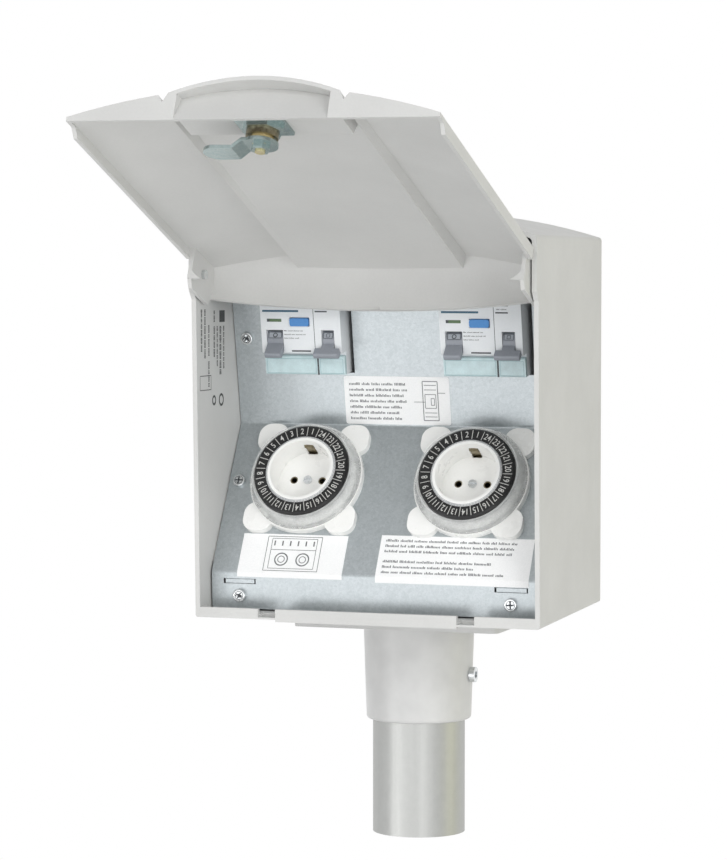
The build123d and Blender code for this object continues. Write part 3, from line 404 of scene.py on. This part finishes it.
def rectangle(place, x0, x1, v0, v1, h):
    return [place(x0, v0, h), place(x1, v0, h), place(x1, v1, h), place(x0, v1, h)]


def roundedRing(place, x0, x1, v0, v1, h, radius, steps):
    ring = []
    corners = ((x1 - radius, v1 - radius, 0), (x0 + radius, v1 - radius, 90),
               (x0 + radius, v0 + radius, 180), (x1 - radius, v0 + radius, 270))
    for x, v, start in corners:
        for i in range(steps + 1):
            angle = math.radians(start + 90 * i / steps)
            ring.append(place(x + radius * math.cos(angle), v + radius * math.sin(angle), h))
    return ring


def strokes(place, lines, width, h, kind=1):
    rings = []
    for (xa, va), (xb, vb) in lines:
        along = Vector((xb - xa, vb - va))
        side = Vector((-along.y, along.x)).normalized() * width / 2
        ring = [place(xa + side.x, va + side.y, h), place(xa - side.x, va - side.y, h),
                place(xb - side.x, vb - side.y, h), place(xb + side.x, vb + side.y, h)]
        rings.append((ring, kind))
    return rings


def ringStrokes(place, x, v, radius, width, h, kind=1, steps=24):
    turn = [(x + radius * math.cos(2 * math.pi * i / steps), v + radius * math.sin(2 * math.pi * i / steps))
            for i in range(steps + 1)]
    return strokes(place, list(zip(turn[:-1], turn[1:])), width, h, kind)


def boxStrokes(place, x0, x1, v0, v1, width, h, kind=1):
    corners = [(x0, v0), (x1, v0), (x1, v1), (x0, v1), (x0, v0)]
    return strokes(place, list(zip(corners[:-1], corners[1:])), width, h, kind)


# small print in parts of its height: words of short marks with gaps between them
printShape = {"word": (2.0, 6.5), "mark": 0.34, "tall": (0.66, 0.72, 1.0), "pitch": (0.48, 0.62), "gap": 0.6,
              "shortest": 2}


def wordRows(place, rows, left, h, kind):
    # rows of marks like print seen from far away, whose own x starts at left
    x0, x1, height = left + rows["x0"], left + rows["x1"], rows["height"]
    draw = random.Random(rows["seed"])
    marks = []
    for row in range(rows["count"]):
        low = rows["top"] - row * rows["pitch"] - height
        end = x1 - (x1 - x0) * rows["ragged"] * draw.random()
        x = x0
        while x < end - height * printShape["shortest"]:
            reach = min(x + height * draw.uniform(*printShape["word"]), end)
            while x < reach:
                top = low + height * draw.choice(printShape["tall"])
                marks.append((rectangle(place, x, x + height * printShape["mark"], low, top, h), kind))
                x += height * draw.uniform(*printShape["pitch"])
            x += height * printShape["gap"]
    return marks


# the three labels on the cover plate; boxes are x0, x1, v0, v1 and width of line

labels = {"lift": 0.15, "printLift": 0.2, "corner": 1.6, "cornerSteps": 5}

upperLabel = {
    "x0": -36, "x1": 34.6, "v0": 0.8, "v1": 32.3,
    "print": {"x0": -32.6, "x1": 7, "top": 28.1, "count": 7, "pitch": 3.75, "height": 1.7, "seed": 3,
              "ragged": 0.25},
    # a plain block diagram: a breaker in outline with leader lines, from its left and the label's lower edge
    "diagramX": 16.6,
    "boxes": ((0, 10, 3, 28.5, 0.5), (1.4, 8.6, 11, 20, 0.4), (5.4, 7.6, 13, 17.4, 0.4)),
    "lines": ((1, 9, 5.4, 0.4), (1, 9, 8, 0.4), (1, 9, 23, 0.4), (1, 9, 26, 0.4),
              (-6, 1.4, 15, 0.35), (10, 15, 21, 0.35)),
}

lowerLeftLabel = {
    "x0": -91.3, "x1": -21, "v0": -3, "v1": 27,
    # a front view of the open box in thin lines: bars for the breakers and rings for the timers
    "boxes": ((-74.3, -38, 1.6, 25.4, 0.4), (-71.3, -41, 3.2, 24, 0.35)),
    "ringX": (-63.3, -49), "ringV": 9.6, "rings": ((4.2, 0.8), (2.2, 0.5)),
    "bars": 6, "barX": -69.3, "barStep": 5.26, "barV": (19, 22.4), "barWidth": 0.9,
    "line": ((-71.3, 16.2), (-41, 16.2)), "lineWidth": 0.35,
}

lowerRightLabel = {
    "x0": 1, "x1": 101, "v0": -4, "v1": 28.4,
    "prints": (
        {"x0": 4.5, "x1": 97, "top": 25.8, "count": 3, "pitch": 3.7, "height": 1.7, "seed": 11,
         "ragged": 0.12},
        {"x0": 4.5, "x1": 97, "top": 11.4, "count": 3, "pitch": 3.7, "height": 1.7, "seed": 17,
         "ragged": 0.4},
    ),
}


def labelPiece(name, sheets):
    piece = flatPiece(name, sheets, ("labelPaper", "labelInkAndShade"))
    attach(piece, "post")


def bentSheet(x0, x1, v0, v1):
    # a label that goes round the plate's lower bend: above it, below it and the strip between the two
    h = labels["lift"]
    strip = [lipFace.at(x0, 0, h), lipFace.at(x1, 0, h), middleFace.at(x1, 0, h), middleFace.at(x0, 0, h)]
    return [(rectangle(middleFace.at, x0, x1, 0, v1, h), 0), (rectangle(lipFace.at, x0, x1, v0, 0, h), 0),
            (strip, 0)]


def makeUpperLabel(label):
    place, top = upperFace.at, labels["printLift"]
    ring = roundedRing(place, label["x0"], label["x1"], label["v0"], label["v1"], labels["lift"],
                       labels["corner"], labels["cornerSteps"])
    sheets = [(ring, 0)]
    sheets += wordRows(place, label["print"], 0, top, 1)
    left, low = label["diagramX"], label["v0"]
    for x0, x1, v0, v1, width in label["boxes"]:
        sheets += boxStrokes(place, left + x0, left + x1, low + v0, low + v1, width, top)
    for x0, x1, v, width in label["lines"]:
        sheets += strokes(place, [((left + x0, low + v), (left + x1, low + v))], width, top)
    labelPiece("labelUpper", sheets)


def makeLowerLeftLabel(label):
    place, top = middleFace.at, labels["printLift"]
    sheets = bentSheet(label["x0"], label["x1"], label["v0"], label["v1"])
    for x0, x1, v0, v1, width in label["boxes"]:
        sheets += boxStrokes(place, x0, x1, v0, v1, width, top)
    for x in label["ringX"]:
        for radius, width in label["rings"]:
            sheets += ringStrokes(place, x, label["ringV"], radius, width, top)
    low, high = label["barV"]
    for i in range(label["bars"]):
        x = label["barX"] + i * label["barStep"]
        sheets += strokes(place, [((x, low), (x, high))], label["barWidth"], top)
    sheets += strokes(place, [label["line"]], label["lineWidth"], top)
    labelPiece("labelLowerLeft", sheets)


def makeLowerRightLabel(label):
    sheets = bentSheet(label["x0"], label["x1"], label["v0"], label["v1"])
    for rows in label["prints"]:
        sheets += wordRows(middleFace.at, rows, 0, labels["printLift"], 1)
    labelPiece("labelLowerRight", sheets)


makeUpperLabel(upperLabel)
makeLowerLeftLabel(lowerLeftLabel)
makeLowerRightLabel(lowerRightLabel)
print("labels made")


# the numbers on the two dials, and a light line on each groove between them

dials = {
    "x": 55.0, "v": 65.2, "top": 16.65, "inner": 23.7, "outer": 29.9, "count": 24, "line": 0.4,
    "size": 5.9, "narrow": 0.78, "bold": 0.03, "curveSteps": 2,
}


def dialDigits(word, x):
    # the numbers as text, each turned to face outward
    holders = []
    radius = (dials["inner"] + dials["outer"]) / 2
    for number in range(1, dials["count"] + 1):
        angle = math.radians(90 + (number - 1.5) * 360 / dials["count"])
        text = bpy.data.curves.new(f"digits{word}{number}", "FONT")
        text.body = str(number)
        text.size = dials["size"] * mm
        text.align_x = "CENTER"
        text.align_y = "CENTER"
        text.resolution_u = dials["curveSteps"]
        text.offset = dials["bold"] * mm
        holder = bpy.data.objects.new(text.name, text)
        bpy.context.scene.collection.objects.link(holder)
        v = dials["v"] + radius * math.sin(angle)
        spot = middleFace.matrix(x + radius * math.cos(angle), v, dials["top"])
        turn = Matrix.Rotation(angle - math.pi / 2, 4, "Z")
        holder.matrix_world = spot @ turn @ Matrix.Scale(dials["narrow"], 4, (1, 0, 0))
        holders.append(holder)
    bpy.context.view_layer.update()
    return holders


def dialNumbers(word, x):
    points, faces = [], []
    for holder in dialDigits(word, x):
        mesh = bpy.data.meshes.new_from_object(holder.evaluated_get(bpy.context.evaluated_depsgraph_get()))
        start = len(points)
        points += [holder.matrix_world @ vertex.co for vertex in mesh.vertices]
        faces += [[start + i for i in polygon.vertices] for polygon in mesh.polygons]
        bpy.data.objects.remove(holder)
        bpy.data.meshes.remove(mesh)
    inner, outer, half = dials["inner"], dials["outer"], dials["line"] / 2
    for i in range(dials["count"]):
        turn = 2 * math.pi * i / dials["count"]
        start = len(points)
        for radius, side in ((inner, -half), (outer, -half), (outer, half), (inner, half)):
            points.append(middleFace.at(x + radius * math.cos(turn) - side * math.sin(turn),
                                        dials["v"] + radius * math.sin(turn) + side * math.cos(turn),
                                        dials["top"]))
        faces.append([start, start + 1, start + 2, start + 3])
    piece = newPiece(f"dialNumbers{word}", points, faces, ("dialInk",))
    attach(piece, "dial_" + word.lower())


# painted shade: a grey ring where the edge of each socket's well falls into shade by the dial; radius and
# height of each ring of points
socketRim = {"rings": ((21.9, 17.46), (22.75, 17.3), (23.2, 16.7)), "steps": 72}


def makeSocketRim(word, x):
    points, faces = [], []
    count = socketRim["steps"]
    for radius, h in socketRim["rings"]:
        for i in range(count):
            turn = 2 * math.pi * i / count
            points.append(middleFace.at(x + radius * math.cos(turn), dials["v"] + radius * math.sin(turn), h))
    for ring in range(len(socketRim["rings"]) - 1):
        for i in range(count):
            a, b = ring * count + i, ring * count + (i + 1) % count
            faces.append([a, a + count, b + count, b])
    # the ring's grey is painted shade
    piece = newPiece("socketRim" + word, points, faces, ("rimShadeGrey",))
    for polygon in piece.data.polygons:
        polygon.use_smooth = True
    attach(piece, "post")


for word, x in (("Left", -dials["x"]), ("Right", dials["x"])):
    dialNumbers(word, x)
    makeSocketRim(word, x)
print("dials numbered")


# painted shade on the head of each of the cover plate's screws: a dark cross where its cross slot lies in
# shade, and a grey ring of shade on the head

screwMark = {"half": 2.2, "width": 0.85, "lift": 0.04, "ring": 2.75, "ringWidth": 0.4, "headDeep": 0.25,
             "turn": 0.5, "turnStep": 0.7, "turnMost": 1.5}


def makeScrewMark(name, screw, face):
    spots = [vertex.co / mm - face.origin for vertex in screw.data.vertices]
    top = max(spot.dot(face.out) for spot in spots)
    head = [spot for spot in spots if top - spot.dot(face.out) < screwMark["headDeep"]]
    x = sum(spot.dot(face.across) for spot in head) / len(head)
    v = sum(spot.dot(face.up) for spot in head) / len(head)
    h = top + screwMark["lift"]
    turn = screwMark["turn"] + screwMark["turnStep"] * len(name) % screwMark["turnMost"]
    lines = []
    for angle in (turn, turn + math.pi / 2):
        a, b = screwMark["half"] * math.cos(angle), screwMark["half"] * math.sin(angle)
        lines.append(((x - a, v - b), (x + a, v + b)))
    # painted shade: the dark cross in the slot's hollow and the grey ring on the head
    sheets = strokes(face.at, lines, screwMark["width"], h, 0)
    sheets += ringStrokes(face.at, x, v, screwMark["ring"], screwMark["ringWidth"], h)
    piece = flatPiece(name + "_slotShade", sheets, ("darkInkAndShade", "labelInkAndShade"))
    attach(piece, "post")


plateFaces = {"upper": upperFace, "middle": middleFace, "lip": lipFace}
for name, screw in nodes.items():
    if name.startswith("plate_screw"):
        makeScrewMark(name, screw, plateFaces[name.split("_")[2]])


# the sheet's tongues in the lip's two slots: the profile is v and h on the lip's face

lipTab = {
    "x": 89.7, "half": 10.8, "gapLeft": 1.3, "gapRight": 0.9,
    "profile": ((-4.35, -1.38), (-4.45, -0.38), (-4.65, -0.08),
                (-7.15, -0.08), (-7.35, -0.38), (-7.45, -1.38)),
}


def makeLipTab(word, middle):
    x0 = middle - lipTab["half"] + lipTab["gapLeft"]
    x1 = middle + lipTab["half"] - lipTab["gapRight"]
    sheets = []
    for (va, ha), (vb, hb) in zip(lipTab["profile"][:-1], lipTab["profile"][1:]):
        corners = ((x0, va, ha), (x0, vb, hb), (x1, vb, hb), (x1, va, ha))
        sheets.append(([lipFace.at(*corner) for corner in corners], 0))
    piece = flatPiece("lipTab" + word, sheets, ("galvanisedSheet",))
    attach(piece, "post")


makeLipTab("Left", -lipTab["x"])
makeLipTab("Right", lipTab["x"])
print("screws marked and tongues made")


# print on the breakers: x is from a group's left edge, or from the joint to its second device

breakers = {
    "left": -85.2, "right": 34.4, "joint": 35.9, "front": 13.06, "coverFront": 9.06, "overlay": 0.02,
    "blueStripe": (1.6, 26, 76.4, 77.7), "greenStripe": (4.4, 14.2, 70, 72), "greenEnd": (4.4, 6.2, 70, 72),
    "lowStripe": (20, 33, 50.6, 51.6), "secondStripe": (1.2, 9.4, 76.4, 77.3),
    # the dark joints between the two devices and between their covers
    "deviceGap": (-0.15, 0.2, 47.3, 92), "coverGap": (-0.7, 0.5, 34.8, 47.1),
    # the moulded edges of the two covers' fronts
    "coverEdge": (1.2, 34.3, 35.8, 45.2), "secondEdge": (1.4, 16.6, 35.8, 45.2), "edgeWidth": 0.35,
    "topPrint": {"x0": 3, "x1": 22, "top": 84, "count": 2, "pitch": 2.2, "height": 0.8, "seed": 5,
                 "ragged": 0.5},
    "sidePrint": {"x0": 15.5, "x1": 33, "top": 64.6, "count": 3, "pitch": 2.4, "height": 0.7, "seed": 7,
                  "ragged": 0.5},
    "secondPrint": {"x0": 2, "x1": 15, "top": 84, "count": 3, "pitch": 2.3, "height": 0.8, "seed": 9,
                    "ragged": 0.5},
}
breakerInks = ("darkInkAndShade", "blueInk", "greenInk", "labelInkAndShade", "edgeInk")


def breakerPrint(word, x):
    place, front, cover = upperFace.at, breakers["front"], breakers["coverFront"]
    second = x + breakers["joint"]

    def bar(name, start, h, inkName):
        x0, x1, v0, v1 = breakers[name]
        return (rectangle(place, start + x0, start + x1, v0, v1, h), breakerInks.index(inkName))

    def edge(name, start):
        x0, x1, v0, v1 = breakers[name]
        return boxStrokes(place, start + x0, start + x1, v0, v1, breakers["edgeWidth"], cover,
                          breakerInks.index("edgeInk"))

    sheets = [bar("blueStripe", x, front, "blueInk"), bar("greenStripe", x, front, "greenInk"),
              bar("greenEnd", x, front + breakers["overlay"], "darkInkAndShade")]
    sheets += wordRows(place, breakers["topPrint"], x, front, breakerInks.index("darkInkAndShade"))
    sheets += wordRows(place, breakers["sidePrint"], x, front, breakerInks.index("labelInkAndShade"))
    sheets += [bar("lowStripe", x, front, "darkInkAndShade"), bar("deviceGap", second, front, "darkInkAndShade"),
               bar("coverGap", second, cover, "darkInkAndShade"), bar("secondStripe", second, front, "darkInkAndShade")]
    sheets += wordRows(place, breakers["secondPrint"], second, front, breakerInks.index("labelInkAndShade"))
    sheets += edge("coverEdge", x) + edge("secondEdge", second)
    piece = flatPiece(f"breakerPrint{word}", sheets, breakerInks)
    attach(piece, "post")


# a light window on the drum above each lever, with a ring or a square in it

toggles = {
    "v": 57.6, "h": 6.6, "radius": 6.2, "turn": 33.0, "windowHalf": 1.9, "windowLift": 0.34, "markLift": 0.4,
    "frameWidth": 0.3, "ring": 1.3, "ringWidth": 0.6, "square": 1.1, "squareWidth": 0.35,
    "residualX": 9.1, "residualHalf": 4.2, "breakerX": 44.85, "breakerHalf": 3.0,
}


def togglePrint(body, x, half, ring):
    turn = math.radians(toggles["turn"])
    high, lift, square = toggles["windowHalf"], toggles["markLift"], toggles["square"]

    def place(a, b, h):
        reach = toggles["radius"] + h
        v = toggles["v"] + reach * math.sin(turn) + b * math.cos(turn)
        return upperFace.at(x + a, v, toggles["h"] + reach * math.cos(turn) - b * math.sin(turn))

    sheets = [(rectangle(place, -half, half, -high, high, toggles["windowLift"]), 0)]
    sheets += boxStrokes(place, -half, half, -high, high, toggles["frameWidth"], lift)
    if ring:
        sheets += ringStrokes(place, 0, 0, toggles["ring"], toggles["ringWidth"], lift)
    else:
        sheets += boxStrokes(place, -square, square, -square, square, toggles["squareWidth"], lift)
    piece = flatPiece("togglePrint_" + body, sheets, ("windowInk", "darkInkAndShade"))
    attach(piece, body)


for word, x in (("Left", breakers["left"]), ("Right", breakers["right"])):
    breakerPrint(word, x)
    togglePrint("rcd_toggle_" + word.lower(), x + toggles["residualX"], toggles["residualHalf"], True)
    togglePrint("mcb_toggle_" + word.lower(), x + toggles["breakerX"], toggles["breakerHalf"], False)


# plain marks where the housing's left wall carries its rating print, measured down from the wall's top

wallPrint = {
    "origin": (-110, -108.7, 147), "along": (0.01536, 1, 0), "top": 196, "lift": 0.06, "seed": 23,
    # each column of marks: how far in it is, where it starts and ends, and how thick it is
    "columns": ((3.4, 2, 30, 2.6), (9.0, 2, 33, 2.6), (15.4, 12, 31, 2.2), (15.4, 35, 51, 2.2),
                (24.4, 3, 10, 2.6), (24.4, 13, 34, 2.6), (29.4, 13, 40, 2.2), (34.6, 13, 44, 3.4),
                (40.2, 13, 40, 2.2)),
    "word": (1.6, 5.2), "thick": (0.35, 0.5), "mark": 0.6, "pitch": 0.85, "gap": 0.6, "shortest": 1,
    "block": (3, 10.5, 33, 42), "box": (44, 53, 1, 19), "boxWidth": 0.5,
    "rings": ((60, 36, 3.4, 1.5), (60, 24, 2.6, 1.4)),
}


def makeWallPrint(look):
    wall, h = Face(look["origin"], (0, 0, 1), look["along"]), look["lift"]

    def place(down, across, out):
        return wall.at(across, look["top"] - down, out)

    draw = random.Random(look["seed"])
    sheets = []
    for across, start, end, thick in look["columns"]:
        down = start
        while down < end - look["shortest"]:
            reach = min(down + draw.uniform(*look["word"]), end)
            while down < reach:
                half = thick * draw.uniform(*look["thick"])
                mark = rectangle(place, down, down + look["mark"], across - half, across + half, h)
                sheets.append((mark, 0))
                down += look["pitch"]
            down += look["gap"]
    sheets.append((rectangle(place, *look["block"], h), 0))
    sheets += boxStrokes(place, *look["box"], look["boxWidth"], h, 0)
    for down, across, radius, width in look["rings"]:
        sheets += ringStrokes(place, down, across, radius, width, h, 0)
    piece = flatPiece("wallPrint", sheets, ("wallInk",))
    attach(piece, "post")


makeWallPrint(wallPrint)
print("prints made")


# floor, light and camera: places and sizes in metres

floorLook = {
    "half": 12.0, "z": -0.75, "nearWhite": 0.55, "nearReach": 0.9, "farReach": 3.2,
    "drift": 400, "dark": (0.72, 0.72, 0.72), "light": (0.76, 0.76, 0.76), "rough": 0.9,
}


def makeFloor(look):
    size, z = look["half"], look["z"]
    mesh = bpy.data.meshes.new("floor")
    corners = [(-size, -size, z), (size, -size, z), (size, size, z), (-size, size, z)]
    mesh.from_pydata(corners, [], [(0, 1, 2, 3)])
    finish = newFinish("paleFloor")
    seen = finish.shownRay("Is Camera Ray", "Is Transmission Ray", "Is Glossy Ray")
    base = finish.blend(finish.noise(look["drift"], 2), look["dark"], look["light"])
    lit = finish.add("BsdfPrincipled", {}, {"Base Color": base, "Roughness": look["rough"]})
    glow = finish.add("Emission", {}, {"Color": (1, 1, 1), "Strength": 1.0})
    # white far off, so that no horizon shows, and lit as usual near the object, where its shadow falls
    reach = finish.out(finish.add("VectorMath", {"operation": "LENGTH"}, {0: finish.point()}), "Value")
    white = finish.between(reach, look["nearWhite"], 1.0, look["nearReach"], look["farReach"])
    mixed = finish.add("MixShader", {}, {0: seen * white, 1: finish.out(lit), 2: finish.out(glow)})
    # clear from below, so that the underside can be looked at
    under = finish.out(finish.add("NewGeometry"), "Backfacing")
    clear = finish.out(finish.add("BsdfTransparent"))
    shown = finish.add("MixShader", {}, {0: under, 1: finish.out(mixed), 2: clear})
    finish.add("OutputMaterial", {}, {"Surface": finish.out(shown)})
    mesh.materials.append(finish.owner)
    floor = bpy.data.objects.new("floor", mesh)
    bpy.context.scene.collection.objects.link(floor)


# a lamp is white and doesn't show in the metal unless its row says otherwise
lamps = {
    "key": {"at": (-0.6, -2.5, 1.8), "size": (1.6, 1.6), "power": 21},
    "front": {"at": (2.4, -2.1, 1.0), "size": (1.6, 1.6), "power": 37, "colour": (1, 1, 0.99)},
    "side": {"at": (2.6, 0.7, 0.3), "size": (1.6, 1.6), "power": 3.8, "colour": (1, 0.95, 0.1),
             "shine": True},
    "low": {"at": (-0.2, -2.4, -0.3), "size": (1.4, 1.2), "power": 5, "shine": True},
    "lowRight": {"at": (1.2, -2.1, -0.3), "size": (1.4, 1.0), "power": 5.6, "shine": True},
    "strip": {"at": (-1.45, -1.75, -0.5), "size": (0.8, 0.8), "power": 6.5, "shine": True},
    "back": {"at": (-0.1, 2.7, 1.0), "size": (1.6, 1.6), "power": 28, "colour": (1, 0.99, 0.97)},
    "left": {"at": (-2.7, 0.9, 0.5), "size": (1.6, 1.6), "power": 18},
}
lampAim = Vector((0, -0.05, 0.28))


def makeLamps():
    for name, lamp in lamps.items():
        light = bpy.data.lights.new(name + "Light", "AREA")
        light.shape = "RECTANGLE"
        light.size, light.size_y = lamp["size"]
        light.energy = lamp["power"]
        light.color = lamp.get("colour", (1, 1, 1))
        holder = bpy.data.objects.new(name + "Light", light)
        holder.location = lamp["at"]
        holder.visible_glossy = lamp.get("shine", False)
        holder.rotation_euler = (lampAim - Vector(lamp["at"])).to_track_quat("-Z", "Y").to_euler()
        bpy.context.scene.collection.objects.link(holder)


# the world is white to the camera and through glass, a little darker in the metal, and a soft light elsewhere
studio = {"ambient": 0.42, "ambientColour": (0.97, 0.98, 1), "glossGlow": 0.72}


def makeWorld():
    world = bpy.data.worlds.new("studio")
    bpy.context.scene.world = world
    sky = Finish(world)
    direct = sky.shownRay("Is Camera Ray", "Is Transmission Ray")
    bright = sky.maths("MAXIMUM", direct, sky.shownRay("Is Glossy Ray") * studio["glossGlow"])
    ambient = sky.add("Background", {}, {"Color": studio["ambientColour"], "Strength": studio["ambient"]})
    glow = sky.add("Background", {}, {"Color": (1, 1, 1), "Strength": 1.0})
    mixed = sky.add("MixShader", {}, {0: bright, 1: sky.out(ambient), 2: sky.out(glow)})
    sky.add("OutputWorld", {}, {"Surface": sky.out(mixed)})


# the photograph's camera: its place in millimetres, angles in degrees, focal length and height in pixels
camera = {"at": (683.8, -2097.3, 382.9), "yaw": 18.998, "down": 3.147, "focal": 3401.06, "imageHigh": 860,
          "sensor": 36, "clipEnd": 40}


def makeCamera():
    yaw, down = math.radians(camera["yaw"]), math.radians(camera["down"])
    ahead = Vector((-math.sin(yaw) * math.cos(down), math.cos(yaw) * math.cos(down), -math.sin(down)))
    lens = bpy.data.cameras.new("photoCamera")
    lens.sensor_width = camera["sensor"]
    lens.lens = camera["focal"] * camera["sensor"] / camera["imageHigh"]
    lens.clip_end = camera["clipEnd"]
    holder = bpy.data.objects.new("photoCamera", lens)
    holder.location = Vector(camera["at"]) * mm
    holder.rotation_euler = ahead.to_track_quat("-Z", "Y").to_euler()
    bpy.context.scene.collection.objects.link(holder)
    bpy.context.scene.camera = holder


makeFloor(floorLook)
makeLamps()
makeWorld()
makeCamera()
bpy.context.scene.view_settings.view_transform = "Standard"
print("floor, lamps and camera set")
